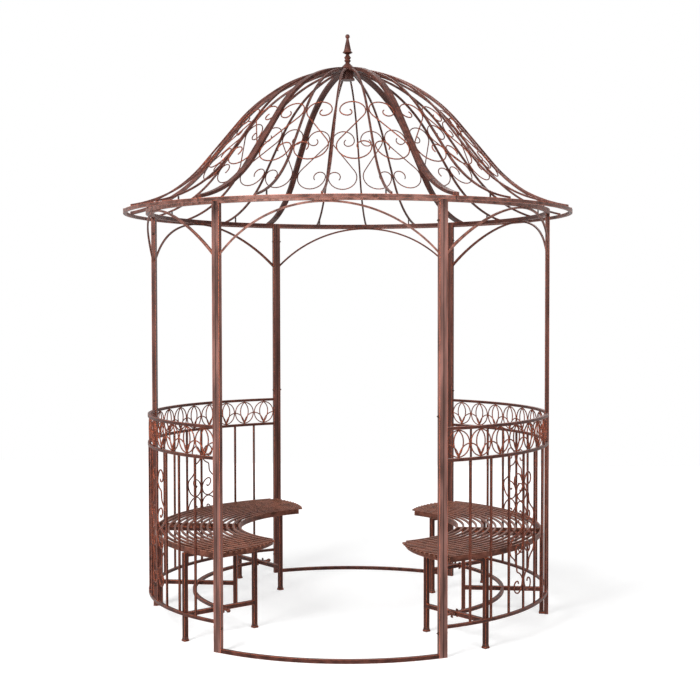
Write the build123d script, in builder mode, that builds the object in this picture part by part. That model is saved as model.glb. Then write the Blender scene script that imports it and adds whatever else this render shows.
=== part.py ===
from build123d import *
import math
import os

# A six-sided wrought iron garden gazebo with a bell-shaped open roof and two curved slatted benches.
# Millimetres, +Z up, floor at z = 0, the open front bay faces -Y. Azimuths are degrees from the
# front, turning towards +X.

# Ground plan
bay_count = 6
bay_angle = 360 / bay_count
post_circle_radius = 1000.0
ring_radius = 1112.0

# Uprights and welded bay frames
tube_size = 20.0
bolted_gap = 0.4
post_height = 2022.0
arch_rod_size = 9.0
arch_spring_height = 1760.0
ground_bar_size = 18.0

# Railings
rail_size = 14.0
top_rail_height = 1010.0
band_rail_height = 870.0
bottom_rail_height = 135.0
baluster_size = 9.0
baluster_count = 7
band_rod_size = 6.0

# Roof
ring_bar_size = 16.0
ring_height = 2011.0
rib_width = 14.0
rib_depth = 15.0
roof_rod_size = 9.0
rods_per_bay = 3
crown_radius = 766.0
slope_angle = 50.2
slope_length = 273.0
sweep_radius = 660.0
eaves_angle = 9.8
roof_bolt_size = 6.0
weld_depth = 1.0
seat_clearance = 0.3

# S-scrolls between the roof bars, laid flat: x across the gap and y up the roof
scroll_rod_size = 6.0
scroll_distance = 143.7
upper_loop_height = 133.0
upper_curl_radii = (34.0, 22.0)
upper_curl_end_angle = 55.0
lower_loop_height = -108.0
lower_curl_radii = (35.0, 32.0)
lower_curl_turn = 130.0

# Hub and finial
hub_radius = 36.0
hub_height = 60.0
hub_plate_thickness = 8.0
hub_core_radius = 30.0
cap_height = 27.0
finial_seat_radius = 9.5
crown_ring_radius = 64.0

# Benches
seat_inner_radius = 552.0
seat_outer_radius = 974.0
seat_height = 440.0
seat_end_angle = 30.5
seat_end_radius = 515.0
slat_size = 9.0
slat_count = 12
slat_overhang = 22.0
seat_edge_depth = 28.0
seat_edge_thickness = 6.0
leg_size = 20.0
leg_azimuths = (45.0, 90.0, 135.0)
inner_leg_radius = 585.0
foot_size = 26.0
foot_height = 8.0
cross_bar_height = 124.0
stretcher_size = 16.0

half_bay = bay_angle / 2
tube_offset = (tube_size + bolted_gap) / 2
tube_outer_edge = tube_size + bolted_gap / 2
post_half_angle = math.degrees(math.asin(tube_outer_edge / post_circle_radius))
bay_names = ("front", "front_right", "back_right", "back", "back_left", "front_left")
post_names = ("front_right", "right", "back_right", "back_left", "left", "front_left")
railed_bays = (1, 2, 4, 5)
open_bays = (0, 3)


def direction(azimuth):
    """Unit vector that points outwards at an azimuth."""
    turn = math.radians(azimuth)
    return Vector(math.sin(turn), -math.cos(turn), 0)


def radial_plane(azimuth):
    """Upright plane through the axis: its x runs outwards and its y runs up."""
    outward = direction(azimuth)
    return Plane(origin=(0, 0, 0), x_dir=outward, z_dir=outward.cross(Vector(0, 0, 1)))


def curved_bar(radius, height, start, span, width, depth):
    """Bar bent round the axis, with its section centred on radius and height."""
    with BuildPart() as bar:
        with BuildSketch(radial_plane(start)):
            with Locations((radius, height)):
                Rectangle(width, depth)
        revolve(axis=Axis.Z, revolution_arc=span)
    return bar.part


def post_space(azimuth):
    """Room taken by the two tubes of one post, which bars are cut back to meet."""
    with BuildPart() as space:
        with BuildSketch(Plane(origin=(0, 0, 0), x_dir=direction(azimuth), z_dir=(0, 0, 1))):
            with Locations((post_circle_radius, 0)):
                Rectangle(2 * tube_size, 2 * tube_outer_edge)
        extrude(amount=post_height)
    return space.part


def bay_bar(bay, height, size):
    """Square bar bent along one bay at a height, cut square against the posts at its ends."""
    start = bay * bay_angle - half_bay
    with BuildPart() as bar:
        add(curved_bar(post_circle_radius, height, start, bay_angle, size, size))
        add(post_space(start), mode=Mode.SUBTRACT)
        add(post_space(start + bay_angle), mode=Mode.SUBTRACT)
    return bar.part


# Posts: two square tubes side by side, one from each neighbouring bay frame
posts = []
for index, name in enumerate(post_names):
    azimuth = half_bay + index * bay_angle
    with BuildPart() as post:
        with BuildSketch(Plane(origin=(0, 0, 0), x_dir=direction(azimuth), z_dir=(0, 0, 1))):
            with Locations(
                (post_circle_radius, -tube_offset), (post_circle_radius, tube_offset)
            ):
                Rectangle(tube_size, tube_size)
        extrude(amount=post_height)
    post.part.label = f"post_{name}"
    posts.append(post.part)

# Bay heads: the bent top bar between two uprights, with the arch rod sprung under it
head_height = post_height - tube_size / 2
arch_half_width = post_circle_radius * math.sin(math.radians(half_bay))
arch_top = post_height - tube_size - arch_rod_size / 2 + weld_depth
arch_rise = arch_top - arch_spring_height
arch_radius = (arch_half_width**2 + arch_rise**2) / (2 * arch_rise)
arch_half_turn = math.degrees(math.asin(arch_half_width / arch_radius))
heads = []
for index, name in enumerate(bay_names):
    azimuth = index * bay_angle
    arch_plane = Plane(origin=(0, 0, 0), x_dir=direction(azimuth + 90), z_dir=direction(azimuth))
    with BuildPart() as head:
        with BuildSketch(arch_plane):
            with BuildLine():
                CenterArc(
                    (0, arch_top - arch_radius),
                    arch_radius,
                    90 - arch_half_turn,
                    2 * arch_half_turn,
                )
            trace(line_width=arch_rod_size)
        extrude(amount=2 * post_circle_radius)
        with BuildSketch(Plane.XY, mode=Mode.PRIVATE) as shell:
            Circle(post_circle_radius + arch_rod_size / 2)
            Circle(post_circle_radius - arch_rod_size / 2, mode=Mode.SUBTRACT)
        extrude(shell.sketch, amount=post_height, mode=Mode.INTERSECT)
        add(post_space(azimuth - half_bay), mode=Mode.SUBTRACT)
        add(post_space(azimuth + half_bay), mode=Mode.SUBTRACT)
        add(bay_bar(index, head_height, tube_size))
    head.part.label = f"head_{name}"
    heads.append(head.part)

# Ground bars across the two open bays
ground_bars = []
for index in open_bays:
    with BuildPart() as ground:
        add(bay_bar(index, ground_bar_size / 2, ground_bar_size))
    ground.part.label = f"ground_bar_{bay_names[index]}"
    ground_bars.append(ground.part)

# Railings of the four closed bays: three bent rails joined by the balusters
rail_span = bay_angle - 2 * post_half_angle
baluster_pitch = rail_span / (baluster_count + 1)
baluster_length = band_rail_height - bottom_rail_height
railings = []
for index in railed_bays:
    start = index * bay_angle - rail_span / 2
    with BuildPart() as railing:
        for height in (top_rail_height, band_rail_height, bottom_rail_height):
            add(bay_bar(index, height, rail_size))
        for step in range(baluster_count):
            azimuth = start + (step + 1) * baluster_pitch
            foot = Plane(
                origin=(0, 0, bottom_rail_height), x_dir=direction(azimuth), z_dir=(0, 0, 1)
            )
            with BuildSketch(foot):
                with Locations((post_circle_radius, 0)):
                    Rectangle(baluster_size, baluster_size)
            extrude(amount=baluster_length)
    railing.part.label = f"railing_{bay_names[index]}"
    railings.append(railing.part)

# Band rings: eight in each railing between the two upper rails, one over each gap
band_gap = top_rail_height - band_rail_height - rail_size
band_middle = (top_rail_height + band_rail_height) / 2
half_pitch_turn = math.radians(baluster_pitch / 2)
band_plane_radius = post_circle_radius * math.cos(half_pitch_turn)
band_half_space = min(band_gap / 2, post_circle_radius * math.sin(half_pitch_turn))
band_ring_radius = band_half_space - seat_clearance
with BuildPart() as band_rings:
    for index in railed_bays:
        start = index * bay_angle - rail_span / 2
        for step in range(baluster_count + 1):
            outward = direction(start + (step + 0.5) * baluster_pitch)
            middle = outward * band_plane_radius + Vector(0, 0, band_middle)
            with BuildSketch(Plane(origin=middle, x_dir=(0, 0, 1), z_dir=outward)):
                Circle(band_ring_radius)
                Circle(band_ring_radius - band_rod_size, mode=Mode.SUBTRACT)
            extrude(amount=band_rod_size / 2, both=True)
band_rings.part.label = "band_rings"

# Eaves ring: one bent bar on each roof panel, a hair apart at the ribs
ring_joint_angle = math.degrees(bolted_gap / ring_radius)
with BuildPart() as eaves_ring:
    for index in range(bay_count):
        start = index * bay_angle - half_bay + ring_joint_angle / 2
        add(
            curved_bar(
                ring_radius,
                ring_height,
                start,
                bay_angle - ring_joint_angle,
                ring_bar_size,
                ring_bar_size,
            )
        )
eaves_ring.part.label = "eaves_ring"

# Roof line: crown arc, straight slope and reverse sweep, worked back from the top of the ring
ring_edge_radius = ring_radius + ring_bar_size / 2
ring_top = ring_height + ring_bar_size / 2
slope_turn = math.radians(slope_angle)
eaves_turn = math.radians(eaves_angle)
slope_normal = Vector(math.sin(slope_turn), math.cos(slope_turn))
sweep_center = Vector(ring_edge_radius, ring_top) + sweep_radius * Vector(
    math.sin(eaves_turn), math.cos(eaves_turn)
)
sweep_start = sweep_center - sweep_radius * slope_normal
slope_start = sweep_start + slope_length * Vector(-math.cos(slope_turn), math.sin(slope_turn))
crown_center = slope_start - crown_radius * slope_normal
crown_reach = slope_angle - math.degrees(math.asin(-crown_center.X / crown_radius))


def roof_bar(azimuth, offset, width, depth, inner_radius):
    """Bar laid on the roof line, moved sideways by offset, from inner_radius to the ring's edge."""
    outward = direction(azimuth)
    side = Vector(0, 0, 1).cross(outward)
    plane = Plane(origin=side * (offset + width / 2), x_dir=outward, z_dir=-side)
    lift = slope_normal * depth / 2
    with BuildPart() as bar:
        with BuildSketch(plane):
            with BuildLine():
                CenterArc(
                    (crown_center.X, crown_center.Y),
                    crown_radius + depth / 2,
                    90 - slope_angle,
                    crown_reach,
                )
                Line(
                    (slope_start.X + lift.X, slope_start.Y + lift.Y),
                    (sweep_start.X + lift.X, sweep_start.Y + lift.Y),
                )
                CenterArc(
                    (sweep_center.X, sweep_center.Y),
                    sweep_radius - depth / 2,
                    270 - slope_angle,
                    slope_angle,
                )
            trace(line_width=depth)
        extrude(amount=width)
        with BuildSketch(Plane.XY, mode=Mode.PRIVATE) as keep:
            Circle(ring_edge_radius)
            Circle(inner_radius, mode=Mode.SUBTRACT)
        extrude(keep.sketch, amount=2 * post_height, mode=Mode.INTERSECT)
    return bar.part


# Roof panels: two edge bars beside the neighbouring panels' bars, and the rods between them
rod_pitch = bay_angle / (rods_per_bay + 1)
rib_offset = (rib_width + bolted_gap) / 2
hub_face_radius = hub_core_radius + seat_clearance
middle_rod = (rods_per_bay + 1) // 2
roof_panels = []
for index, name in enumerate(bay_names):
    azimuth = index * bay_angle
    with BuildPart() as panel:
        add(roof_bar(azimuth - half_bay, rib_offset, rib_width, rib_depth, hub_face_radius))
        add(roof_bar(azimuth + half_bay, -rib_offset, rib_width, rib_depth, hub_face_radius))
        for step in range(1, rods_per_bay + 1):
            rod_end = hub_face_radius if step == middle_rod else crown_ring_radius
            rod_azimuth = azimuth - half_bay + step * rod_pitch
            add(roof_bar(rod_azimuth, 0, roof_rod_size, roof_rod_size, rod_end))
    panel.part.label = f"roof_panel_{name}"
    roof_panels.append(panel.part)


def roof_point(distance, lift):
    """Radius and height, distance down the roof from the straight slope's start, lifted off the line."""
    if distance < 0:
        turn = slope_turn + distance / crown_radius
        return crown_center + (crown_radius + lift) * Vector(math.sin(turn), math.cos(turn))
    if distance > slope_length:
        turn = slope_turn - (distance - slope_length) / sweep_radius
        return sweep_center - (sweep_radius - lift) * Vector(math.sin(turn), math.cos(turn))
    down = Vector(math.cos(slope_turn), -math.sin(slope_turn))
    return slope_start + distance * down + lift * slope_normal


# S-scrolls: one rod in each gap, with a loop at either end as wide as the gap beside an edge bar
half_gap_turn = math.radians(rod_pitch / 2)
rod_center = roof_rod_size / 2
edge_bar_side = rib_offset + rib_width / 2
loop_x = (edge_bar_side - rod_center) / 2
bar_lean = math.atan(math.cos(slope_turn) * math.sin(half_gap_turn))


def loop_radius(height):
    """Radius of a scroll's loop that fills the gap beside an edge bar, at the loop's own height."""
    bar_line = roof_point(scroll_distance - height, rod_center).X * math.sin(half_gap_turn)
    half_gap = bar_line - (edge_bar_side + rod_center) / 2 / math.cos(half_gap_turn)
    return half_gap * math.cos(bar_lean) - scroll_rod_size / 2 - 2 * seat_clearance


upper_loop_radius = loop_radius(upper_loop_height)
lower_loop_radius = loop_radius(lower_loop_height)
loop_distance = upper_loop_height - lower_loop_height
diagonal_turn = -math.degrees(
    math.asin((upper_loop_radius + lower_loop_radius) / loop_distance)
)
upper_wide, upper_tight = upper_curl_radii
lower_wide, lower_tight = lower_curl_radii
upper_curl_x = loop_x - upper_loop_radius + upper_wide
lower_curl_x = loop_x + lower_loop_radius - lower_wide
with BuildPart() as scroll:
    with BuildSketch():
        with BuildLine():
            CenterArc(
                (upper_curl_x, upper_loop_height - upper_wide + upper_tight),
                upper_tight,
                upper_curl_end_angle,
                -90 - upper_curl_end_angle,
            )
            CenterArc((upper_curl_x, upper_loop_height), upper_wide, -90, -90)
            upper_loop = CenterArc(
                (loop_x, upper_loop_height), upper_loop_radius, 180, diagonal_turn - 180
            )
            lower_loop = CenterArc(
                (loop_x, lower_loop_height),
                lower_loop_radius,
                diagonal_turn + 180,
                180 - diagonal_turn,
            )
            Line(upper_loop @ 1, lower_loop @ 0)
            CenterArc((lower_curl_x, lower_loop_height), lower_wide, 0, 90)
            CenterArc(
                (lower_curl_x, lower_loop_height + lower_wide - lower_tight),
                lower_tight,
                90,
                lower_curl_turn,
            )
        trace(line_width=scroll_rod_size)
    extrude(amount=scroll_rod_size / 2, both=True)

# The scrolls of one bay alternate left and right handed, and lie flat between the roof bars
scroll_top = roof_point(scroll_distance - upper_loop_height - upper_loop_radius, rod_center)
scroll_foot = roof_point(scroll_distance - lower_loop_height + lower_loop_radius, rod_center)
scroll_rise = (scroll_top - scroll_foot).normalized()
scroll_seat = scroll_foot + scroll_rise * (lower_loop_radius - lower_loop_height)
left_scroll = mirror(scroll.part, about=Plane.YZ)
with BuildPart() as roof_scrolls:
    for gap in range(bay_count * (rods_per_bay + 1)):
        outward = direction((gap + 0.5) * rod_pitch - half_bay)
        side = Vector(0, 0, 1).cross(outward)
        up_slope = outward * scroll_rise.X * math.cos(half_gap_turn) + Vector(0, 0, scroll_rise.Y)
        seat = outward * scroll_seat.X * math.cos(half_gap_turn) + Vector(0, 0, scroll_seat.Y)
        place = Plane(origin=seat, x_dir=side, z_dir=side.cross(up_slope))
        add(place.location * (left_scroll if gap % 2 else scroll.part))
roof_scrolls.part.label = "roof_scrolls"

# Roof bolts: pins that hold the outer rods of each bay down on the top bars
pin_outer_edge = post_circle_radius + roof_bolt_size / 2
rod_underside = sweep_center.Y - math.sqrt(
    sweep_radius**2 - (sweep_center.X - pin_outer_edge) ** 2
)
with BuildPart() as roof_bolts:
    for index in range(bay_count):
        for step in (1, rods_per_bay):
            azimuth = index * bay_angle - half_bay + step * rod_pitch
            with BuildSketch(
                Plane(origin=(0, 0, post_height), x_dir=direction(azimuth), z_dir=(0, 0, 1))
            ):
                with Locations((post_circle_radius, 0)):
                    Rectangle(roof_bolt_size, roof_bolt_size)
            extrude(amount=rod_underside - seat_clearance - post_height)
roof_bolts.part.label = "roof_bolts"

# Hub: a drum that takes the ribs, between a bottom plate and a conical cap
bar_crown_radius = crown_radius + rib_depth
cap_rim = seat_clearance + crown_center.Y + math.sqrt(
    bar_crown_radius**2 - (hub_core_radius - crown_center.X) ** 2
)
with BuildPart() as hub:
    with BuildSketch(Plane.XZ):
        with BuildLine():
            Polyline(
                (0, cap_rim - hub_height),
                (hub_radius, cap_rim - hub_height),
                (hub_radius, cap_rim - hub_height + hub_plate_thickness),
                (hub_core_radius, cap_rim - hub_height + hub_plate_thickness),
                (hub_core_radius, cap_rim),
                (hub_radius, cap_rim),
                (finial_seat_radius, cap_rim + cap_height),
                (0, cap_rim + cap_height),
                close=True,
            )
        make_face()
    revolve(axis=Axis.Z)
hub.part.label = "hub"

# Finial: two beads, a flared skirt and a slender cone with a ball tip, as radius and rise
finial_outline = (
    (9.5, 0.0),
    (17.0, 10.5),
    (12.5, 18.0),
    (17.3, 26.5),
    (7.6, 41.5),
    (25.5, 51.5),
    (18.5, 61.0),
    (5.9, 122.0),
)
ball_radius = 11.7
ball_sides = 6
finial_base = cap_rim + cap_height
neck_radius, neck_rise = finial_outline[-1]
neck_turn = -math.acos(neck_radius / ball_radius)
ball_turns = [neck_turn + (math.pi / 2 - neck_turn) * side / ball_sides for side in range(1, ball_sides)]
ball_center = neck_rise - ball_radius * math.sin(neck_turn)
ball_outline = [
    (ball_radius * math.cos(turn), ball_center + ball_radius * math.sin(turn)) for turn in ball_turns
]
with BuildPart() as finial:
    with BuildSketch(Plane.XZ):
        with BuildLine():
            Polyline(
                (0, finial_base),
                *[(radius, finial_base + rise) for radius, rise in (*finial_outline, *ball_outline)],
                (0, finial_base + ball_center + ball_radius),
                close=True,
            )
        make_face()
    revolve(axis=Axis.Z)
finial.part.label = "finial"

# Benches: bent round the gazebo's axis, with the middle outer foot up against a post
slat_pitch = (seat_outer_radius - seat_inner_radius) / (slat_count + 1)
frame_top = seat_height - slat_size
bearer_depth = seat_edge_depth - slat_size
leg_top = seat_height - seat_edge_depth
outer_leg_radius = post_circle_radius - tube_size / 2 - seat_clearance - foot_size / 2
leg_middle = (inner_leg_radius + outer_leg_radius) / 2
seat_middle = (seat_inner_radius + seat_outer_radius) / 2
rim_radii = (
    seat_inner_radius + seat_edge_thickness / 2,
    seat_outer_radius - seat_edge_thickness / 2,
)
end_center_distance = math.hypot(seat_middle, seat_end_radius)
end_center_azimuth = seat_end_angle + math.degrees(math.atan(seat_end_radius / seat_middle))


def end_azimuth(radius):
    """Azimuth at which a seat's bulging end crosses a radius."""
    between = (radius**2 + end_center_distance**2 - seat_end_radius**2) / (
        2 * radius * end_center_distance
    )
    return end_center_azimuth - math.degrees(math.acos(between))


def seat_bar(radius, overhang, width, depth):
    """Bar bent along a seat with its top at seat height, past both ends by overhang."""
    start = end_azimuth(radius) - math.degrees(overhang / radius)
    return curved_bar(radius, seat_height - depth / 2, start, 180 - 2 * start, width, depth)


with BuildPart() as end_board:
    with BuildSketch(Plane.XY.offset(leg_top)):
        with BuildLine():
            ThreePointArc(
                direction(end_azimuth(rim_radii[0])) * rim_radii[0],
                direction(seat_end_angle) * seat_middle,
                direction(end_azimuth(rim_radii[1])) * rim_radii[1],
            )
        trace(line_width=seat_edge_thickness)
    extrude(amount=bearer_depth)

with BuildPart() as seat:
    for radius in rim_radii:
        add(seat_bar(radius, 0, seat_edge_thickness, seat_edge_depth))
    add(end_board.part)
    add(mirror(end_board.part, about=Plane.XZ))
    for step in range(1, slat_count + 1):
        add(seat_bar(seat_inner_radius + step * slat_pitch, slat_overhang, slat_size, slat_size))
    for azimuth in leg_azimuths:
        with BuildSketch(radial_plane(azimuth)):
            with Locations((seat_middle, frame_top - bearer_depth / 2)):
                Rectangle(rim_radii[1] - rim_radii[0], bearer_depth)
        extrude(amount=seat_edge_thickness / 2, both=True)

with BuildPart() as legs:
    for azimuth in leg_azimuths:
        leg_plan = Plane(origin=(0, 0, 0), x_dir=direction(azimuth), z_dir=(0, 0, 1))
        for size, height in ((leg_size, leg_top), (foot_size, foot_height)):
            with BuildSketch(leg_plan):
                with Locations((inner_leg_radius, 0), (outer_leg_radius, 0)):
                    Rectangle(size, size)
            extrude(amount=height)
        with BuildSketch(radial_plane(azimuth)):
            with Locations((leg_middle, cross_bar_height), (leg_middle, leg_top - leg_size / 2)):
                Rectangle(outer_leg_radius - inner_leg_radius, leg_size)
        extrude(amount=leg_size / 2, both=True)

with BuildPart() as stretcher:
    add(
        curved_bar(
            leg_middle,
            cross_bar_height,
            leg_azimuths[0],
            leg_azimuths[-1] - leg_azimuths[0],
            stretcher_size,
            stretcher_size,
        )
    )
    for azimuth in leg_azimuths:
        with BuildSketch(radial_plane(azimuth)):
            with Locations((leg_middle, cross_bar_height)):
                Rectangle(2 * leg_size, 2 * leg_size)
        extrude(amount=leg_size / 2, both=True, mode=Mode.SUBTRACT)

bench_parts = []
for name, turn in (("right", 0), ("left", 180)):
    for piece, kind in ((seat.part, "seat"), (legs.part, "legs"), (stretcher.part, "stretcher")):
        placed = Rot(0, 0, turn) * piece
        placed.label = f"{name}_bench_{kind}"
        bench_parts.append(placed)

os.makedirs("parts", exist_ok=True)
pieces = [*posts, *heads, *ground_bars, *railings, eaves_ring.part, *roof_panels]
pieces += [band_rings.part, roof_scrolls.part, roof_bolts.part, hub.part, finial.part]
pieces += bench_parts
for piece in pieces:
    export_step(piece, f"parts/{piece.label}.step")
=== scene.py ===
"""Garden gazebo in rubbed bronze paint: its finishes, bent scrollwork, bolts and the studio."""

import logging
import math
from dataclasses import dataclass
from enum import Enum

import bmesh
import bpy
from mathutils import Euler, Matrix, Vector


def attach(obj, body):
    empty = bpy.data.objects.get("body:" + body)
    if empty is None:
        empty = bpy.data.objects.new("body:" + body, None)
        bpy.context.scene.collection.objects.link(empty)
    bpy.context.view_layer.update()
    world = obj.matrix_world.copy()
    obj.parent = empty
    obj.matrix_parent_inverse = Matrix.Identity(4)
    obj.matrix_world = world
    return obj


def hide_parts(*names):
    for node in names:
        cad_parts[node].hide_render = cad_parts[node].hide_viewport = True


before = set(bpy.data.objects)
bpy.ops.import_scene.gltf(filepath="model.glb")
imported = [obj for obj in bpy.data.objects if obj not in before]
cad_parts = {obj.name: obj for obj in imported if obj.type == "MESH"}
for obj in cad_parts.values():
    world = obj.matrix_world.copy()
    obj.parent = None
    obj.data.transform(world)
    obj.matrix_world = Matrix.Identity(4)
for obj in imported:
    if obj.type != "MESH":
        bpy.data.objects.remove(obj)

LOG = logging.getLogger("gazebo")

Point = tuple[float, float]
Profile = tuple[Point, ...]
Span = tuple[float, float]
Color = tuple[float, float, float]
Socket = bpy.types.NodeSocket
Feed = Socket | float | tuple[float, ...]

BAYS = ("front", "front_right", "back_right", "back", "back_left", "front_left")
RAILED_BAYS = ("front_right", "back_right", "back_left", "front_left")
BAY_ANGLE = 360.0 / len(BAYS)
MM_PER_M = 1000.0
UP = Vector((0.0, 0.0, 1.0))
FLIP = Matrix.Diagonal((-1.0, 1.0, 1.0, 1.0))
WHOLE: Span = (0.0, 1.0)
WHITE = (1.0, 1.0, 1.0, 1.0)


def outward(azimuth: float) -> Vector:
    """Level unit vector away from the axis, at an azimuth in degrees from the front."""
    turn = math.radians(azimuth)
    return Vector((math.sin(turn), -math.cos(turn), 0.0))


def sideways(azimuth: float) -> Vector:
    """Level unit vector along the frame at an azimuth, towards growing azimuths."""
    return UP.cross(outward(azimuth))


def axes_place(origin: Vector, axes: tuple[Vector, Vector, Vector]) -> Matrix:
    """Place that puts a pattern's origin and its x, y and z axes as given."""
    return Matrix.Translation(origin) @ Matrix(axes).transposed().to_4x4()


def wall_place(azimuth: float, radius: float, height: float) -> Matrix:
    """Place of a flat pattern that stands upright and faces outwards.

    Args:
        azimuth: Degrees from the front, turning towards the right-hand side.
        radius: Distance of the pattern's plane from the axis, in metres.
        height: Height of the pattern's own origin, in metres.

    Returns:
        The matrix that takes pattern x, y and z to sideways, up and outwards.
    """
    out = outward(azimuth)
    origin = out * radius + UP * height
    return axes_place(origin, (sideways(azimuth), UP, out))


def side_place(azimuth: float, radius: float, height: float, side: float) -> Matrix:
    """Place of a pattern that points along the frame, away from an upright.

    Args:
        azimuth: Degrees from the front, turning towards the right-hand side.
        radius: Distance from the axis in metres.
        height: Height in metres.
        side: Distance sideways in metres. The pattern points to its side.

    Returns:
        The matrix that takes pattern x, y and z to up, outwards or inwards, and sideways.
    """
    along = sideways(azimuth)
    point = along if side > 0 else -along
    origin = outward(azimuth) * radius + along * side + UP * height
    return axes_place(origin, (UP, point.cross(UP), point))


def leave_edit_mode() -> None:
    """Go to object mode with nothing selected."""
    if bpy.context.object is not None and bpy.context.object.mode != "OBJECT":
        bpy.ops.object.mode_set(mode="OBJECT")
    bpy.ops.object.select_all(action="DESELECT")


def open_pattern(name: str) -> bpy.types.Object:
    """Name the primitive that was just added, put its place into its mesh and edit it.

    Args:
        name: Name of the new object.

    Returns:
        The object, in edit mode and selected all over.
    """
    pattern = bpy.context.active_object
    pattern.name = pattern.data.name = name
    bpy.ops.object.transform_apply(location=True, rotation=True, scale=True)
    bpy.ops.object.mode_set(mode="EDIT")
    bpy.ops.mesh.select_all(action="SELECT")
    return pattern


def close_pattern(smooth_angle: float = 0.0) -> None:
    """Turn the faces of the mesh in edit mode outwards and leave it.

    Args:
        smooth_angle: Edges under this many degrees are smoothed. At nought, none is.
    """
    bpy.ops.mesh.select_all(action="SELECT")
    bpy.ops.mesh.normals_make_consistent(inside=False)
    bpy.ops.object.mode_set(mode="OBJECT")
    if smooth_angle > 0:
        bpy.ops.object.shade_smooth_by_angle(angle=math.radians(smooth_angle))


def join_pieces(parts: list[bpy.types.Object], name: str) -> bpy.types.Object:
    """Join parts into one piece.

    Args:
        parts: The objects to join.
        name: Name of the joined piece.

    Returns:
        The joined piece.
    """
    leave_edit_mode()
    for part in parts:
        part.select_set(True)
    bpy.context.view_layer.objects.active = parts[0]
    bpy.ops.object.join()
    piece = bpy.context.active_object
    piece.name = piece.data.name = name
    return piece


def copy_to(pattern: bpy.types.Object, places: list[Matrix], name: str) -> bpy.types.Object:
    """Copy a pattern to several places and join the copies into one piece.

    Args:
        pattern: The object that is copied.
        places: A matrix for each copy.
        name: Name of the joined piece.

    Returns:
        The joined piece, with its places in its mesh.
    """
    copies = []
    for place in places:
        copy = pattern.copy()
        copy.data = pattern.data.copy()
        copy.data.transform(place)
        if place.determinant() < 0:
            copy.data.flip_normals()
        bpy.context.scene.collection.objects.link(copy)
        copies.append(copy)
    return join_pieces(copies, name)


def discard(*patterns: bpy.types.Object) -> None:
    """Remove patterns once their copies are made."""
    for pattern in patterns:
        bpy.data.objects.remove(pattern, do_unlink=True)


@dataclass
class NodeBoard:
    """A node tree, with short ways to add nodes that are set up and fed."""

    tree: bpy.types.NodeTree

    def add(
        self, kind: str, feeds: dict[str | int, Feed] | None = None, **settings: str | int | bool
    ) -> bpy.types.Node:
        """Add a node.

        Args:
            kind: Type of the node, without the word ShaderNode.
            feeds: What goes into each of its inputs, by name or number.
            settings: Values of its properties, set before its inputs are fed.

        Returns:
            The new node.
        """
        node = self.tree.nodes.new(f"ShaderNode{kind}")
        for name, value in settings.items():
            setattr(node, name, value)
        self.feed(node, feeds or {})
        return node

    def feed(self, node: bpy.types.Node, feeds: dict[str | int, Feed]) -> None:
        """Link sockets to a node's inputs, or set values on them.

        Args:
            node: The node.
            feeds: What goes into each input, by name or number.
        """
        for key, source in feeds.items():
            if isinstance(source, Socket):
                self.tree.links.new(source, node.inputs[key])
            else:
                node.inputs[key].default_value = source

    def compute(self, operation: str, *values: Feed, clamp: bool = False) -> Socket:
        """Work out an operation on values, kept from 0 to 1 if clamp is set."""
        node = self.add("Math", dict(enumerate(values)), operation=operation, use_clamp=clamp)
        return node.outputs["Value"]

    def noise(self, place: Socket, scale: float, detail: float) -> Socket:
        """Noise pattern with scale patches per metre and detail finer layers."""
        feeds = {"Vector": place, "Scale": scale, "Detail": detail}
        return self.add("TexNoise", feeds).outputs["Fac"]

    def blend(self, share: Feed, base: Feed, over: Feed) -> Socket:
        """Colour over laid on colour base, by share."""
        feeds = {"Factor": share, "A": base, "B": over}
        return self.add("Mix", feeds, data_type="RGBA").outputs["Result"]

    def remap(
        self, value: Socket, source: Span, target: Span = WHOLE, smooth: bool = False
    ) -> Socket:
        """Map one span of a value to another, and clamp what lies beyond.

        Args:
            value: The value.
            source: The span that is read.
            target: The span that it becomes.
            smooth: Whether the ends are eased.

        Returns:
            The socket with the mapped value.
        """
        feeds = {
            "Value": value,
            "From Min": source[0],
            "From Max": source[1],
            "To Min": target[0],
            "To Max": target[1],
        }
        easing = "SMOOTHSTEP" if smooth else "LINEAR"
        return self.add("MapRange", feeds, interpolation_type=easing).outputs["Result"]

    def seen_directly(self) -> Socket:
        """Find the rays by which the camera sees a surface, straight or in a reflection.

        Returns:
            A socket that is 1 for those rays.
        """
        path = self.add("LightPath")
        seen = path.outputs["Is Camera Ray"]
        for kind in ("Is Glossy Ray", "Is Transmission Ray"):
            seen = self.compute("MAXIMUM", seen, path.outputs[kind])
        return seen


class Metal(Enum):
    """Slot names for the finishes of new pieces; the script does not read them."""

    BENCH = "bronze_bench"
    SCROLLWORK = "bronze_scrollwork"
    BOLTS = "dark_bolts"


class Grain(Enum):
    """Scale of the paint's patches along each axis. The smaller, the longer they run."""

    UPRIGHT = (1.0, 1.0, 0.12)
    LEVEL = (0.7, 0.7, 1.0)
    EVEN = (1.0, 1.0, 1.0)


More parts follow.
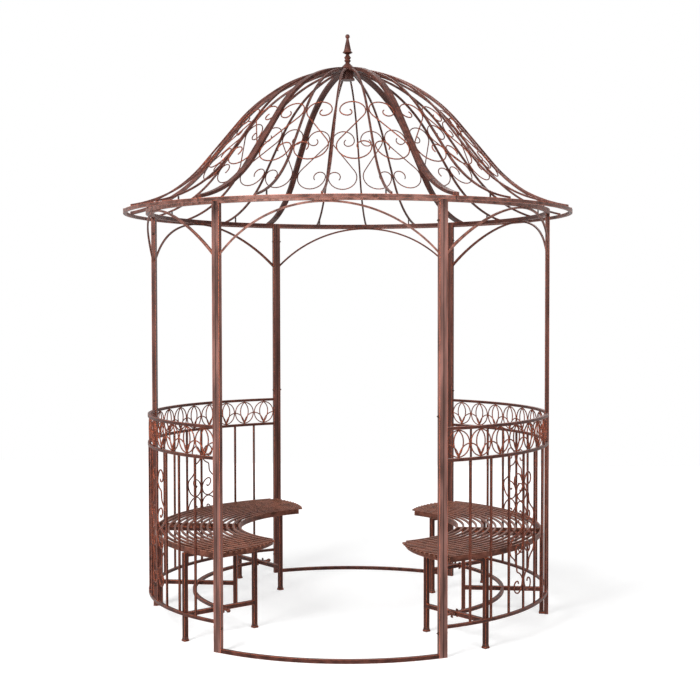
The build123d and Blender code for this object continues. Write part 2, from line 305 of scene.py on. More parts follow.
@dataclass(frozen=True)
class RubbedBronze:
    """Dark brown paint rubbed back to copper red, mostly on the edges.

    Lengths are in metres and scales in patches per metre. Each reach is the part of a pattern, or
    of the cosine at an edge, over which the paint changes. A seam is a dark band of painted shade;
    its half width is in radians about the axis, and at nought there is no seam.
    """

    name: str
    grain: Grain = Grain.EVEN
    dark: Color = (0.024, 0.007, 0.005)
    warm: Color = (0.098, 0.032, 0.022)
    copper: Color = (0.900, 0.200, 0.080)
    patch_scale: float = 38.0
    patch_detail: float = 2.5
    warm_reach: Span = (0.25, 0.80)
    edge_width: float = 0.0030
    edge_share: float = 0.95
    edge_reach: Span = (0.992, 0.92)
    edge_patch_reach: Span = (0.05, 0.42)
    edge_samples: int = 4
    speck_scale: float = 260.0
    speck_detail: float = 3.0
    speck_share: float = 0.04
    speck_reach: Span = (0.54, 0.66)
    roughness: Span = (0.39, 0.57)
    metal: float = 0.25
    shine: float = 0.22
    bump_strength: float = 0.05
    bump_height: float = 0.0004
    # Painted shade in the seams between paired tubes: its half width, share and colour.
    seam_shade_half: float = 0.0
    seam_shade_share: float = 0.9
    seam_shade_color: Color = (0.010, 0.004, 0.003)

    def material(self) -> bpy.types.Material:
        """Build the node material.

        Returns:
            The finished material.
        """
        made = bpy.data.materials.new(self.name)
        made.use_nodes = True
        shader = made.node_tree.nodes["Principled BSDF"]
        shader.inputs["Metallic"].default_value = self.metal
        shader.inputs["Specular IOR Level"].default_value = self.shine

        board = NodeBoard(made.node_tree)
        place = board.add("TexCoord").outputs["Object"]
        streaks = board.add("Mapping", {"Vector": place, "Scale": self.grain.value})
        patches = board.noise(streaks.outputs["Vector"], self.patch_scale, self.patch_detail)
        specks = board.noise(place, self.speck_scale, self.speck_detail)
        bevel = board.add("Bevel", {"Radius": self.edge_width}, samples=self.edge_samples)
        rounded = bevel.outputs["Normal"]
        paint = self._rubbed(board, patches, specks, rounded)
        # Painted shade: darkens the seams between paired tubes and at the ring's joints.
        if self.seam_shade_half:
            paint = self._paint_seam_shade(board, place, paint)
        bump_feeds = {
            "Strength": self.bump_strength,
            "Distance": self.bump_height,
            "Height": specks,
            "Normal": rounded,
        }
        shader_feeds = {
            "Base Color": paint,
            "Roughness": board.remap(patches, WHOLE, self.roughness),
            "Normal": board.add("Bump", bump_feeds).outputs["Normal"],
        }
        board.feed(shader, shader_feeds)
        return made

    def _rubbed(
        self, board: NodeBoard, patches: Socket, specks: Socket, rounded: Socket
    ) -> Socket:
        """Mix the paint and rub it back to copper on the edges and in specks.

        Args:
            board: The material's nodes.
            patches: The patchy pattern.
            specks: The fine pattern.
            rounded: The way that the surface faces, with its edges rounded.

        Returns:
            The colour of the rubbed paint.
        """
        warmth = board.remap(patches, self.warm_reach, smooth=True)
        body = board.blend(warmth, (*self.dark, 1.0), (*self.warm, 1.0))
        flat = board.add("NewGeometry").outputs["True Normal"]
        facing = board.add("VectorMath", {0: rounded, 1: flat}, operation="DOT_PRODUCT")
        edge = board.remap(facing.outputs["Value"], self.edge_reach, (0.0, self.edge_share))
        gaps = board.remap(patches, self.edge_patch_reach, smooth=True)
        broken = board.compute("MULTIPLY", edge, gaps)
        spots = board.remap(specks, self.speck_reach, smooth=True)
        rubbed = board.compute("MULTIPLY_ADD", spots, self.speck_share, broken, clamp=True)
        return board.blend(rubbed, body, (*self.copper, 1.0))

    def _paint_seam_shade(self, board: NodeBoard, place: Socket, paint: Socket) -> Socket:
        """Paint shade into the seams that lie halfway between the bays, where the paired tubes
        meet.

        The cosine of the angle about the axis times half the number of bays is nought at a seam,
        and its size grows by that half number for each radian away from it.

        Args:
            board: The material's nodes.
            place: The coordinates of the surface.
            paint: The paint without seams.

        Returns:
            The paint with seams of painted shade.
        """
        waves = len(BAYS) / 2
        split = board.add("SeparateXYZ", {"Vector": place})
        around = board.compute("ARCTAN2", split.outputs["X"], split.outputs["Y"])
        wave = board.compute("COSINE", board.compute("MULTIPLY", around, waves))
        off_seam = board.compute("ABSOLUTE", wave)
        half = self.seam_shade_half * waves
        share = board.remap(off_seam, (half, 2 * half), (self.seam_shade_share, 0.0), smooth=True)
        return board.blend(share, paint, (*self.seam_shade_color, 1.0))


class Finishes:
    """The paints of the gazebo, built once and shared."""

    def __init__(self) -> None:
        """Build each paint."""
        # Half width of the painted shade in the seams, in radians about the axis.
        seam_shade_half = 0.0016
        self.posts = RubbedBronze(
            "post_bronze",
            Grain.UPRIGHT,
            dark=(0.036, 0.013, 0.010),
            warm=(0.130, 0.050, 0.037),
            edge_share=0.75,
            seam_shade_half=seam_shade_half,
        ).material()
        # Lit copy of the post paint: the lighter colours and full edge copper are a painted
        # highlight on the front posts.
        self.lit_front_posts = RubbedBronze(
            "front_post_lit_bronze",
            Grain.UPRIGHT,
            dark=(0.046, 0.019, 0.014),
            warm=(0.260, 0.120, 0.098),
            edge_share=1.0,
            shine=0.35,
            seam_shade_half=seam_shade_half,
        ).material()
        # Lit copy of the rail paint for the front arches: its lighter colours are a painted
        # highlight.
        self.lit_front_heads = RubbedBronze(
            "front_head_lit_bronze",
            dark=(0.056, 0.023, 0.017),
            warm=(0.240, 0.105, 0.080),
            edge_width=0.0018,
            edge_share=0.7,
            shine=0.35,
        ).material()
        self.rails = RubbedBronze(
            "rail_bronze", Grain.LEVEL, edge_width=0.0020, edge_share=0.7
        ).material()
        # Lighter colours than the posts: a painted highlight on the eaves ring, with painted shade
        # at its joints.
        self.ring = RubbedBronze(
            "ring_lit_bronze",
            Grain.LEVEL,
            dark=(0.046, 0.019, 0.014),
            warm=(0.200, 0.092, 0.074),
            edge_width=0.0024,
            seam_shade_half=seam_shade_half,
        ).material()
        self.roof = RubbedBronze(
            "roof_bronze",
            dark=(0.028, 0.009, 0.007),
            warm=(0.115, 0.042, 0.031),
            edge_width=0.0018,
            edge_share=0.3,
        ).material()
        # Lighter and pinker than the leg paint: the warm colour and pink edge copper are a painted
        # sheen and highlight on the slats.
        self.seats_with_sheen = RubbedBronze(
            "seat_sheen_bronze",
            Grain.LEVEL,
            dark=(0.050, 0.017, 0.011),
            warm=(0.200, 0.072, 0.048),
            copper=(0.900, 0.370, 0.220),
            edge_width=0.0018,
            edge_share=0.8,
            shine=0.12,
        ).material()
        self.legs = RubbedBronze("leg_bronze", Grain.UPRIGHT).material()
        self.fittings = RubbedBronze(
            "fitting_bronze", warm=(0.130, 0.060, 0.048), edge_width=0.0008, edge_share=0.4
        ).material()
        self.scrolls = RubbedBronze(
            "scroll_bronze", warm=(0.080, 0.025, 0.017), edge_share=0.2, speck_share=0.5
        ).material()
        self.bolts = RubbedBronze(
            "bolt_steel",
            dark=(0.016, 0.012, 0.012),
            warm=(0.050, 0.030, 0.026),
            copper=(0.16, 0.06, 0.035),
            edge_width=0.0012,
            speck_share=0.1,
        ).material()

    def dress_frame(self) -> None:
        """Give each CAD node that shows its paint, by the first words that its name holds."""
        groups = (
            # The front posts take the lit copy of the post paint, a painted highlight.
            ("post_front", self.lit_front_posts),
            ("post_", self.posts),
            # The front arches take the lit copy of the rail paint, a painted highlight.
            ("head_front", self.lit_front_heads),
            ("head_", self.rails),
            ("ground_", self.rails),
            ("railing_", self.rails),
            # The eaves ring takes the paint with the painted highlight.
            ("eaves_", self.ring),
            ("roof_panel", self.roof),
            ("roof_bolts", self.bolts),
            ("hub", self.roof),
            ("finial", self.roof),
            # The seats take the paint with the painted sheen and highlight.
            ("bench_seat", self.seats_with_sheen),
            ("bench_", self.legs),
        )
        dressed = 0
        for name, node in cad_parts.items():
            finish = next((paint for words, paint in groups if words in name), None)
            if finish is not None:
                node.data.materials.clear()
                node.data.materials.append(finish)
                dressed += 1
        LOG.info("dressed %d CAD nodes", dressed)


def finish_piece(piece: bpy.types.Object, finish: bpy.types.Material) -> None:
    """Dress a new piece and tie it to the frame.

    Args:
        piece: The new piece.
        finish: Its material.
    """
    piece.data.materials.clear()
    piece.data.materials.append(finish)
    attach(piece, "root")
    LOG.info("%s: %d faces", piece.name, len(piece.data.polygons))


@dataclass(frozen=True)
class Stroke:
    """A rod bent on the flat: where it starts, its heading there, and the points it goes through.

    Every bend between two points is one arc that carries on smoothly from the last. Points are in
    millimetres and the heading is in degrees.
    """

    start: Point
    heading: float
    through: tuple[Point, ...]

    def mirrored(self, across: bool = False, upside_down: bool = False) -> "Stroke":
        """Copy of the stroke on the other side.

        Args:
            across: Whether x changes sign.
            upside_down: Whether y changes sign.

        Returns:
            The mirrored stroke.
        """
        sx, sy = (-1.0 if across else 1.0), (-1.0 if upside_down else 1.0)
        turn = math.radians(self.heading)
        heading = math.degrees(math.atan2(sy * math.sin(turn), sx * math.cos(turn)))
        return Stroke(
            (sx * self.start[0], sy * self.start[1]),
            heading,
            tuple((sx * x, sy * y) for x, y in self.through),
        )

    def moved(self, right: float) -> "Stroke":
        """Copy of the stroke moved along x, by the distance right in millimetres."""
        x, y = self.start
        return Stroke((x + right, y), self.heading, tuple((x + right, y) for x, y in self.through))


def on_flat(point: Point) -> Vector:
    """Point of a flat pattern in metres, from millimetres."""
    return Vector((*point, 0.0)) / MM_PER_M


@dataclass
class RodBender:
    """Makes bent rods: a round section is spun about the centre of each bend in turn.

    The angles are in degrees and the distance in metres.
    """

    sides: int = 8
    step_angle: float = 15.0
    straight_angle: float = 0.5
    smooth_angle: float = 60.0
    merge_distance: float = 1e-6

    def bend(self, name: str, strokes: list[Stroke], diameter: float) -> bpy.types.Object:
        """Bend several rods of one pattern, flat on the x-y plane.

        Args:
            name: Name of the new object.
            strokes: The rods.
            diameter: Rod diameter in millimetres.

        Returns:
            One object that holds all the rods.
        """
        leave_edit_mode()
        pattern: bpy.types.Object | None = None
        for stroke in strokes:
            turn = Euler((math.pi / 2, 0.0, math.radians(stroke.heading) + math.pi / 2))
            bpy.ops.mesh.primitive_circle_add(
                vertices=self.sides,
                radius=diameter / MM_PER_M / 2,
                fill_type="NOTHING",
                location=on_flat(stroke.start),
                rotation=turn,
            )
            if pattern is None:
                pattern = open_pattern(name)
            first = len(bmesh.from_edit_mesh(pattern.data).verts) - self.sides
            self._follow(stroke)
            bpy.ops.mesh.edge_face_add()
            self._close_start(pattern, first)
        bpy.ops.mesh.select_all(action="SELECT")
        bpy.ops.mesh.remove_doubles(threshold=self.merge_distance)
        close_pattern(self.smooth_angle)
        return pattern

    def _follow(self, stroke: Stroke) -> None:
        """Carry the selected section along a stroke.

        Args:
            stroke: The rod's path.
        """
        here = on_flat(stroke.start)
        heading = math.radians(stroke.heading)
        for point in stroke.through:
            there = on_flat(point)
            reach = there - here
            ahead = Vector((math.cos(heading), math.sin(heading), 0.0))
            turn = 2 * math.atan2(ahead.cross(reach).z, ahead.dot(reach))
            if abs(turn) < math.radians(self.straight_angle):
                bpy.ops.mesh.extrude_region_move(TRANSFORM_OT_translate={"value": reach})
            else:
                radius = reach.length / (2 * math.sin(turn / 2))
                left = Vector((-ahead.y, ahead.x, 0.0))
                bpy.ops.mesh.spin(
                    steps=max(2, math.ceil(abs(math.degrees(turn)) / self.step_angle)),
                    angle=-turn,
                    center=here + left * radius,
                    axis=UP,
                )
            here, heading = there, heading + turn

    def _close_start(self, pattern: bpy.types.Object, first: int) -> None:
        """Put an end face on the section that a rod started from.

        Args:
            pattern: The object in edit mode.
            first: Index of the section's first vertex.
        """
        bpy.ops.mesh.select_all(action="DESELECT")
        mesh = bmesh.from_edit_mesh(pattern.data)
        mesh.verts.ensure_lookup_table()
        for index in range(first, first + self.sides):
            mesh.verts[index].select = True
        mesh.select_flush_mode()
        bmesh.update_edit_mesh(pattern.data)
        bpy.ops.mesh.edge_face_add()


def off_upright(turn: float) -> Vector:
    """Unit vector of radius and height that leans outwards from upright, by radians."""
    return Vector((math.sin(turn), math.cos(turn)))


@dataclass
class RoofLine:
    """The curve that the roof bars lie on: crown arc, straight slope and sweep to the eaves.

    Lengths are in metres and angles in degrees below level.
    """

    ring_edge_radius: float = 1.120
    ring_top: float = 2.019
    crown_radius: float = 0.766
    slope_angle: float = 50.2
    slope_length: float = 0.273
    sweep_radius: float = 0.660
    eaves_angle: float = 9.8

    def __post_init__(self) -> None:
        """Work the joints of the curve back from the top of the ring."""
        slope, eaves = math.radians(self.slope_angle), math.radians(self.eaves_angle)
        self.normal = off_upright(slope)
        self.down = Vector((math.cos(slope), -math.sin(slope)))
        ring_edge = Vector((self.ring_edge_radius, self.ring_top))
        self.sweep_center = ring_edge + self.sweep_radius * off_upright(eaves)
        sweep_start = self.sweep_center - self.sweep_radius * self.normal
        self.slope_start = sweep_start - self.slope_length * self.down
        self.crown_center = self.slope_start - self.crown_radius * self.normal

    def point(self, distance: float, lift: float) -> Vector:
        """Radius and height of a place above the roof line.

        Args:
            distance: Metres down the roof from the start of the straight slope, less than zero
                on the crown.
            lift: Metres outwards from the line.

        Returns:
            The radius and height as a 2-D vector.
        """
        slope = math.radians(self.slope_angle)
        if distance < 0:
            turn = slope + distance / self.crown_radius
            return self.crown_center + (self.crown_radius + lift) * off_upright(turn)
        if distance > self.slope_length:
            turn = slope - (distance - self.slope_length) / self.sweep_radius
            return self.sweep_center - (self.sweep_radius - lift) * off_upright(turn)
        return self.slope_start + distance * self.down + lift * self.normal


@dataclass
class RoofScrolls:
    """The S-scrolls between the bars of the roof, one to a gap.

    Lengths are in millimetres and angles in degrees. A height is up the roof from the scroll's
    origin, which lies center_distance down from the start of the straight slope.
    """

    roof: RoofLine
    rod: float = 6.0
    gaps_per_bay: int = 4
    roof_rod: float = 9.0
    edge_bar_side: float = 14.2
    weld_gap: float = 0.6
    center_distance: float = 143.7
    upper_height: float = 133.0
    upper_curl_radii: tuple[float, float] = (34.0, 22.0)
    upper_curl_end: float = 55.0
    lower_height: float = -108.0
    lower_curl_radii: tuple[float, float] = (35.0, 32.0)
    lower_curl_end: float = 220.0

    @property
    def gap_angle(self) -> float:
        """Angle about the axis between two bars, in degrees."""
        return BAY_ANGLE / self.gaps_per_bay

    def _on_roof(self, height: float) -> Vector:
        """Radius and height, in metres, of a height on the flat scroll once it is in place."""
        distance = (self.center_distance - height) / MM_PER_M
        return self.roof.point(distance, self.roof_rod / 2 / MM_PER_M)

    def _loop_radius(self, height: float) -> float:
        """Radius of a loop that fills the gap beside an edge bar.

        Args:
            height: Height of the loop's centre on the flat scroll.

        Returns:
            The radius of the rod's middle line.
        """
        turn = math.radians(self.gap_angle / 2)
        gap = self._on_roof(height).x * MM_PER_M * math.sin(turn)
        gap -= (self.edge_bar_side + self.roof_rod / 2) / 2 / math.cos(turn)
        lean = math.atan(math.cos(math.radians(self.roof.slope_angle)) * math.sin(turn))
        return gap * math.cos(lean) - self.rod / 2 - self.weld_gap

    def stroke(self) -> Stroke:
        """The scroll on the flat, y up the roof.

        Returns:
            One stroke from the upper curl to the lower one.
        """
        loop_x = (self.edge_bar_side - self.roof_rod / 2) / 2
        upper, lower = Vector((loop_x, self.upper_height)), Vector((loop_x, self.lower_height))
        upper_radius = self._loop_radius(self.upper_height)
        lower_radius = self._loop_radius(self.lower_height)
        diagonal = -math.asin((upper_radius + lower_radius) / (upper.y - lower.y))
        out = Vector((math.cos(diagonal), math.sin(diagonal)))
        left = upper.x - upper_radius
        mid_curl, end_curl = self.upper_curl_radii
        curl = Vector((left + mid_curl, upper.y - mid_curl + end_curl))
        start_turn = math.radians(self.upper_curl_end)
        start = curl + end_curl * Vector((math.cos(start_turn), math.sin(start_turn)))
        right = lower.x + lower_radius
        wide, tight = self.lower_curl_radii
        end_center = Vector((right - wide, lower.y + wide - tight))
        end_turn = math.radians(self.lower_curl_end)
        end = end_center + tight * Vector((math.cos(end_turn), math.sin(end_turn)))
        return Stroke(
            tuple(start),
            self.upper_curl_end - 90.0,
            (
                (curl.x, curl.y - end_curl),
                (left, upper.y),
                tuple(upper + upper_radius * out),
                tuple(lower - lower_radius * out),
                (right, lower.y),
                (end_center.x, lower.y + wide),
                tuple(end),
            ),
        )

    def build(self, bender: RodBender, finishes: Finishes) -> None:
        """Bend the scrolls, lay them on the roof and dress them.

        Args:
            bender: The rod bender.
            finishes: The paints.
        """
        pattern = bender.bend("scroll_pattern", [self.stroke()], self.rod)
        for index, bay in enumerate(BAYS):
            first = index * BAY_ANGLE - BAY_ANGLE / 2
            places = []
            for gap in range(self.gaps_per_bay):
                place = self._place(first + (gap + 0.5) * self.gap_angle)
                places.append(place @ FLIP if gap % 2 else place)
            piece = copy_to(pattern, places, f"roof_scrolls_{bay}")
            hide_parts("roof_scrolls")
            finish_piece(piece, finishes.scrolls)
        discard(pattern)

    def _place(self, azimuth: float) -> Matrix:
        """Place of a scroll that lies flat between two bars.

        Args:
            azimuth: Middle of the gap between the bars.

        Returns:
            The matrix that takes pattern x, y and z to sideways, up the roof and outwards.
        """
        upper = self.upper_height + self._loop_radius(self.upper_height)
        lower = self.lower_height - self._loop_radius(self.lower_height)
        foot = self._on_roof(lower)
        rise = (self._on_roof(upper) - foot).normalized()
        seat = foot - rise * lower / MM_PER_M
        out, side = outward(azimuth), sideways(azimuth)
        chord = math.cos(math.radians(self.gap_angle / 2))
        up_roof = (out * rise.x * chord + UP * rise.y).normalized()
        origin = out * seat.x * chord + UP * seat.y
        return axes_place(origin, (side, up_roof, side.cross(up_roof)))


@dataclass
class Railing:
    """Patterns between the rails of a closed bay.

    Lengths are in millimetres and angles in degrees. On the flat, the leaf's points are measured
    from the middle of its ring, and the arch's shoulder back and up from the middle of the next.
    """

    radius: float = 1000.0
    bay_span: float = 57.685
    units: int = 8
    rod: float = 6.0
    band_middle: float = 940.0
    ring_radius: float = 59.6
    leaf_side: Point = (25.6, 9.2)
    leaf_waist: Point = (22.5, -14.0)
    leaf_heading: float = -36.0
    arch_shoulder: Point = (27.0, -12.0)
    panel_middle: float = 497.0
    panel_rod: float = 7.0

    @property
    def pitch(self) -> float:
        """Angle between two balusters."""
        return self.bay_span / self.units

    @property
    def pitch_chord(self) -> float:
        """Straight distance between two balusters."""
        return 2 * self.radius * math.sin(math.radians(self.pitch / 2))

    def flower(self) -> list[Stroke]:
        """One unit of the band: a ring and a leaf that is round above and pointed below.

        Returns:
            The strokes of the unit.
        """
        top = (0.0, self.ring_radius)
        foot = (0.0, -self.ring_radius)
        ring = Stroke(foot, 0.0, (top, foot))
        leaf = Stroke(top, self.leaf_heading, (self.leaf_side, self.leaf_waist, foot))
        return [ring, leaf, leaf.mirrored(across=True)]

    def half_arch(self) -> Stroke:
        """Half of the arch between the feet of two neighbouring rings.

        Returns:
            The stroke, from between the rings down to the foot of the right-hand one.
        """
        half = self.pitch_chord / 2
        x, y = self.arch_shoulder
        return Stroke((0.0, 0.0), 0.0, ((half - x, y), (half, -self.ring_radius)))

    def quarter_scroll(self) -> Stroke:
        """A quarter of the scroll panel, outwards and up from its middle.

        Returns:
            One stroke, from the small curl at the top to the curl in the round.
        """
        start, heading = (42.0, 235.0), -94.0
        top_curl = ((55.0, 221.0), (80.0, 250.0), (55.0, 277.0), (30.0, 270.0))
        neck = ((7.0, 222.0), (9.0, 212.0), (46.0, 182.0), (57.0, 168.0), (59.0, 146.0))
        round_loop = ((66.0, 130.0), (98.0, 104.0), (117.0, 70.0), (61.0, 3.0), (8.0, 60.0))
        inner_curl = ((50.0, 96.0), (70.0, 73.0), (50.0, 52.0), (42.0, 61.0))
        return Stroke(start, heading, top_curl + neck + round_loop + inner_curl)

    def build(self, bender: RodBender, finishes: Finishes) -> None:
        """Bend the bands and panels of every closed bay.

        Args:
            bender: The rod bender.
            finishes: The paints.
        """
        flower = bender.bend("flower_pattern", self.flower(), self.rod)
        arch = bender.bend("arch_pattern", [self.half_arch()], self.rod)
        quarter = self.quarter_scroll().moved(-self.pitch_chord / 2)
        quarters = [quarter, quarter.mirrored(upside_down=True)]
        column = bender.bend("panel_pattern", quarters, self.panel_rod)
        half_pitch = self.pitch / 2
        for bay in RAILED_BAYS:
            middle = BAYS.index(bay) * BAY_ANGLE
            first = middle - self.bay_span / 2
            rings = [
                self._place(first + (unit + 0.5) * self.pitch, self.band_middle)
                for unit in range(self.units)
            ]
            joints = [
                self._place(first + unit * self.pitch, self.band_middle)
                for unit in range(self.units + 1)
            ]
            arches = joints[:-1] + [joint @ FLIP for joint in joints[1:]]
            band = join_pieces(
                [copy_to(flower, rings, "rings"), copy_to(arch, arches, "arches")],
                f"flower_band_{bay}",
            )
            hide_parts("band_rings")
            finish_piece(band, finishes.scrolls)
            right = self._place(middle + half_pitch, self.panel_middle)
            left = self._place(middle - half_pitch, self.panel_middle)
            panel = copy_to(column, [right, left @ FLIP], f"scroll_panel_{bay}")
            finish_piece(panel, finishes.scrolls)
        discard(flower, arch, column)

    def _place(self, azimuth: float, height: float) -> Matrix:
        """Place of a flat pattern in the plane of two neighbouring balusters."""
        plane = self.radius * math.cos(math.radians(self.pitch / 2)) / MM_PER_M
        return wall_place(azimuth, plane, height / MM_PER_M)


@dataclass
class Lathe:
    """Makes small turned and pressed fittings that point up their own z axis, in metres."""

    smooth_angle: float = 40.0

    def stack(self, name: str, sides: int, profile: Profile) -> bpy.types.Object:
        """Raise a fitting from a disc, drawing its top face up and in or out along a profile.

        Args:
            name: Name of the new object.
            sides: Sides of the disc, such as six for a nut.
            profile: Radius and height of each edge, from the bottom up.

        Returns:
            The fitting, with its top closed.
        """
        leave_edit_mode()
        radius, height = profile[0]
        bpy.ops.mesh.primitive_circle_add(
            vertices=sides, radius=radius, fill_type="NGON", location=UP * height
        )
        fitting = open_pattern(name)
        for next_radius, next_height in profile[1:]:
            rise = UP * (next_height - height)
            bpy.ops.mesh.extrude_region_move(TRANSFORM_OT_translate={"value": rise})
            share = next_radius / radius
            bpy.ops.transform.resize(value=(share, share, 1.0), center_override=UP * next_height)
            radius, height = next_radius, next_height
        close_pattern(self.smooth_angle)
        return fitting


@dataclass
class PostBolts:
    """Bolts through the paired uprights: a domed head on one side, a nut on the other.

    Lengths are in metres, and a profile gives the radius and height of each edge.
    """

    heights: tuple[float, ...] = (0.11, 1.065, 1.92)
    radius: float = 1.0
    side: float = 0.0202
    head_sides: int = 10
    head_profile: Profile = (
        (0.0070, 0.0),
        (0.0070, 0.0012),
        (0.0052, 0.0013),
        (0.0048, 0.0036),
        (0.0026, 0.0052),
    )
    nut_sides: int = 6
    nut_profile: Profile = (
        (0.0060, 0.0),
        (0.0060, 0.0038),
        (0.0050, 0.0046),
        (0.0030, 0.0047),
        (0.0030, 0.0080),
    )

    def build(self, lathe: Lathe, finishes: Finishes) -> None:
        """Make the bolts of every post.

        Args:
            lathe: The maker of small fittings.
            finishes: The paints.
        """
        head = lathe.stack("head_pattern", self.head_sides, self.head_profile)
        nut = lathe.stack("nut_pattern", self.nut_sides, self.nut_profile)
        azimuths = [BAY_ANGLE * (index + 0.5) for index in range(len(BAYS))]
        spots = [(azimuth, height) for azimuth in azimuths for height in self.heights]
        heads = [side_place(azimuth, self.radius, height, self.side) for azimuth, height in spots]
        nuts = [side_place(azimuth, self.radius, height, -self.side) for azimuth, height in spots]
        piece = join_pieces(
            [copy_to(head, heads, "post_bolt_heads"), copy_to(nut, nuts, "post_nuts")], "post_bolts"
        )
        finish_piece(piece, finishes.bolts)
        discard(head, nut)


@dataclass
class BenchFittings:
    """What is fastened to the benches: knobs and star washers on the stretcher, foot flares.

    Lengths are in metres, and a profile gives the radius and height of each edge. star_waist and
    star_front are shares of the star's width, between its arms and on its front.
    """

    leg_azimuths: tuple[float, ...] = (45.0, 90.0, 135.0)
    leg_radii: tuple[float, float] = (0.585, 0.9767)
    bar_height: float = 0.124
    bar_half: float = 0.010
    foot_top: float = 0.008
    knob_sides: int = 12
    knob_profile: Profile = (
        (0.0080, 0.0),
        (0.0080, 0.0110),
        (0.0060, 0.0130),
        (0.0052, 0.0400),
        (0.0078, 0.0450),
        (0.0100, 0.0510),
        (0.0102, 0.0560),
        (0.0080, 0.0620),
        (0.0035, 0.0650),
    )
    flare_sides: int = 4
    flare_profile: Profile = (
        (0.0172, 0.0),
        (0.0150, 0.0050),
        (0.0146, 0.0110),
        (0.0143, 0.0112),
    )
    star_arms: int = 4
    star_arm_sides: int = 4
    star_radius: float = 0.0200
    star_waist: float = 0.45
    star_thickness: float = 0.0035
    star_front: float = 0.8
    star_lift: float = 0.0115

    def build(self, lathe: Lathe, finishes: Finishes) -> None:
        """Make the fittings of both benches.

        Args:
            lathe: The maker of small fittings.
            finishes: The paints.
        """
        knob = lathe.stack("knob_pattern", self.knob_sides, self.knob_profile)
        star = self._star()
        flare = lathe.stack("flare_pattern", self.flare_sides, self.flare_profile)
        star_distances = (-self.bar_half, self.bar_half + self.star_lift)
        for side, turn in (("right", 0.0), ("left", 180.0)):
            knobs = copy_to(knob, self._end_places(turn, (self.bar_half,)), "knobs")
            stars = copy_to(star, self._end_places(turn, star_distances), "stars")
            piece = join_pieces([knobs, stars], f"{side}_stretcher_knobs")
            finish_piece(piece, finishes.fittings)
            piece = copy_to(flare, self._foot_places(turn), f"{side}_bench_foot_flares")
            finish_piece(piece, finishes.fittings)
        discard(knob, star, flare)

    def _end_places(self, turn: float, distances: tuple[float, ...]) -> list[Matrix]:
        """Places beside the cross bars of the two end legs, pointing away from them.

        Args:
            turn: Degrees that the bench is turned about the axis.
            distances: Distances from a cross bar's middle line, less than zero towards the
                middle leg.

        Returns:
            A place for each end and distance.
        """
        middle = sum(self.leg_radii) / 2
        ends = ((self.leg_azimuths[0], -1.0), (self.leg_azimuths[-1], 1.0))
        return [
            side_place(azimuth + turn, middle, self.bar_height, sign * distance)
            for azimuth, sign in ends
            for distance in distances
        ]

    def _foot_places(self, turn: float) -> list[Matrix]:
        """Places of the flares on the feet, square with the legs.

        Args:
            turn: Degrees that the bench is turned about the axis.

        Returns:
            A place for each foot.
        """
        upright = Matrix.Rotation(math.radians(-90.0), 4, "X")
        square_on = Matrix.Rotation(math.radians(45.0), 4, "Z")
        return [
            wall_place(azimuth + turn, radius, self.foot_top) @ upright @ square_on
            for azimuth in self.leg_azimuths
            for radius in self.leg_radii
        ]

    def _star(self) -> bpy.types.Object:
        """Make a washer with arms: a disc drawn in between its arms, then raised.

        Returns:
            The washer, with its back at the origin.
        """
        leave_edit_mode()
        bpy.ops.mesh.primitive_circle_add(
            vertices=self.star_arms * self.star_arm_sides,
            radius=self.star_radius,
            fill_type="NGON",
            location=(0.0, 0.0, 0.0),
        )
        star = open_pattern("star_pattern")
        bpy.ops.mesh.select_all(action="DESELECT")
        mesh = bmesh.from_edit_mesh(star.data)
        mesh.select_mode = {"VERT"}
        mesh.verts.ensure_lookup_table()
        for index, vert in enumerate(mesh.verts):
            vert.select = index % self.star_arm_sides == self.star_arm_sides // 2
        mesh.select_flush_mode()
        bmesh.update_edit_mesh(star.data)
        waist, front = self.star_waist, self.star_front
        bpy.ops.transform.resize(value=(waist, waist, 1.0), center_override=(0.0, 0.0, 0.0))
        bpy.ops.mesh.select_all(action="SELECT")
        rise = UP * self.star_thickness
        bpy.ops.mesh.extrude_region_move(TRANSFORM_OT_translate={"value": rise})
        bpy.ops.transform.resize(value=(front, front, 1.0), center_override=rise)
        close_pattern()
        return star


@dataclass
class PhotoCamera:
    """Camera at the photograph's place, found by fitting posts and rings. Metres and degrees."""

    distance: float = 6.51242
    sidestep: float = 0.14837
    height: float = 1.54715
    turn: float = 4.26254
    pitch: float = -1.9526
    yaw: float = 1.2170
    roll: float = -0.0837
    lens: float = 66.039

    def build(self) -> None:
        """Make the camera and set it for the scene."""
        data = bpy.data.cameras.new("photo_camera")
        data.lens = self.lens
        camera = bpy.data.objects.new("photo_camera", data)
        bpy.context.scene.collection.objects.link(camera)
        camera.matrix_world = (
            Matrix.Rotation(math.radians(self.turn), 4, "Z")
            @ Matrix.Translation((self.sidestep, -self.distance, self.height))
            @ Matrix.Rotation(math.radians(self.yaw), 4, "Z")
            @ Matrix.Rotation(math.radians(90.0 + self.pitch), 4, "X")
            @ Matrix.Rotation(math.radians(self.roll), 4, "Z")
        )
        bpy.context.scene.camera = camera


@dataclass(frozen=True)
class FloorPaper:
    """Pale paper that also glows where the camera sees it, and more so far from the lamps.

    glow is its strength near the gazebo and far off, between the distances of glow_reach in
    metres.
    """

    gray: float = 0.50
    roughness: float = 0.9
    shine: float = 0.1
    glow: Span = (0.60, 0.90)
    glow_reach: Span = (1.6, 5.0)

    def material(self) -> bpy.types.Material:
        """Build the node material.

        Returns:
            The finished material.
        """
        made = bpy.data.materials.new("floor_paper")
        made.use_nodes = True
        shader = made.node_tree.nodes["Principled BSDF"]
        shader.inputs["Base Color"].default_value = (self.gray, self.gray, self.gray, 1.0)
        shader.inputs["Roughness"].default_value = self.roughness
        shader.inputs["Specular IOR Level"].default_value = self.shine
        shader.inputs["Emission Color"].default_value = WHITE
        board = NodeBoard(made.node_tree)
        place = board.add("TexCoord").outputs["Object"]
        distance = board.add("VectorMath", {0: place}, operation="LENGTH").outputs["Value"]
        glow = board.remap(distance, self.glow_reach, self.glow)
        seen_glow = board.compute("MULTIPLY", board.seen_directly(), glow)
        board.feed(shader, {"Emission Strength": seen_glow})
        return made


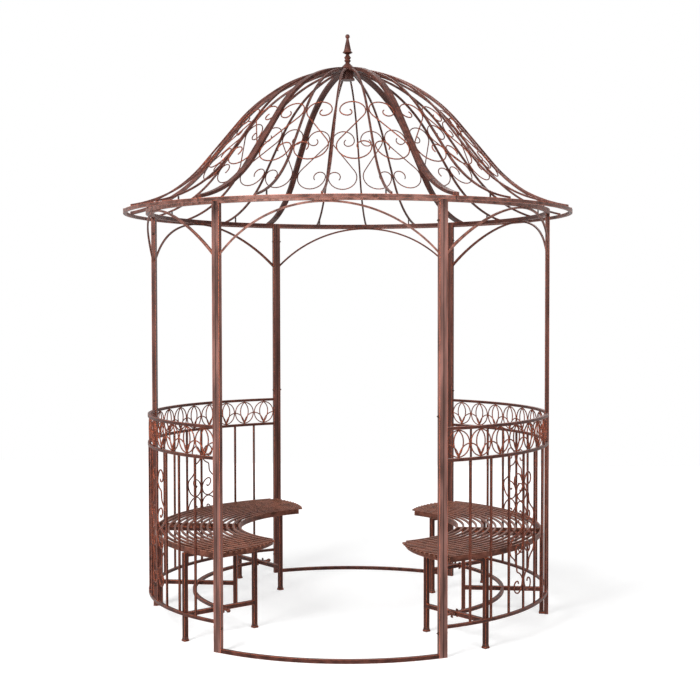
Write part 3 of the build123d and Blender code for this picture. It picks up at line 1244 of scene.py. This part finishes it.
@dataclass(frozen=True)
class Lamp:
    """A soft square lamp, in metres and watts."""

    name: str
    place: tuple[float, float, float]
    size: float
    power: float

    def build(self, aim: Vector) -> None:
        """Make the lamp.

        Args:
            aim: The point that it faces.
        """
        data = bpy.data.lights.new(self.name, "AREA")
        data.size = self.size
        data.energy = self.power
        lamp = bpy.data.objects.new(self.name, data)
        bpy.context.scene.collection.objects.link(lamp)
        lamp.location = self.place
        lamp.rotation_euler = (aim - Vector(self.place)).to_track_quat("-Z", "Y").to_euler()


@dataclass
class Studio:
    """Pale floor, white surround and soft lamps."""

    floor_size: float = 12.0
    surround: float = 0.14
    aim_height: float = 1.3
    lamps: tuple[Lamp, ...] = (
        Lamp("key", (-3.2, -5.7, 4.6), 2.4, 680.0),
        Lamp("fill", (4.2, -4.8, 3.0), 2.4, 95.0),
        Lamp("eaves", (2.2, -3.4, 3.4), 1.4, 60.0),
        Lamp("rim", (1.5, 5.0, 4.5), 3.0, 110.0),
    )

    def build(self) -> None:
        """Make the floor, the surround and the lamps."""
        bpy.context.scene.view_settings.view_transform = "Standard"
        self._floor()
        self._surround()
        for lamp in self.lamps:
            lamp.build(UP * self.aim_height)

    def _floor(self) -> None:
        """Make the floor."""
        leave_edit_mode()
        bpy.ops.mesh.primitive_plane_add(size=self.floor_size, location=(0.0, 0.0, 0.0))
        floor = bpy.context.active_object
        floor.name = "studio_floor"
        floor.data.materials.append(FloorPaper().material())

    def _surround(self) -> None:
        """White to the camera and in reflections, dimmer as light."""
        world = bpy.data.worlds.new("studio_surround")
        bpy.context.scene.world = world
        world.use_nodes = True
        background = world.node_tree.nodes["Background"]
        background.inputs["Color"].default_value = WHITE
        board = NodeBoard(world.node_tree)
        strength = board.remap(board.seen_directly(), WHOLE, (self.surround, 1.0))
        board.feed(background, {"Strength": strength})


def main() -> None:
    """Build the camera, the studio, the paints and the pieces in order."""
    logging.basicConfig(level=logging.INFO, format="%(message)s")
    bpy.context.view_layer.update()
    PhotoCamera().build()
    Studio().build()
    finishes = Finishes()
    finishes.dress_frame()
    bender = RodBender()
    lathe = Lathe()
    RoofScrolls(RoofLine()).build(bender, finishes)
    Railing().build(bender, finishes)
    PostBolts().build(lathe, finishes)
    BenchFittings().build(lathe, finishes)


if __name__ == "__main__":
    main()
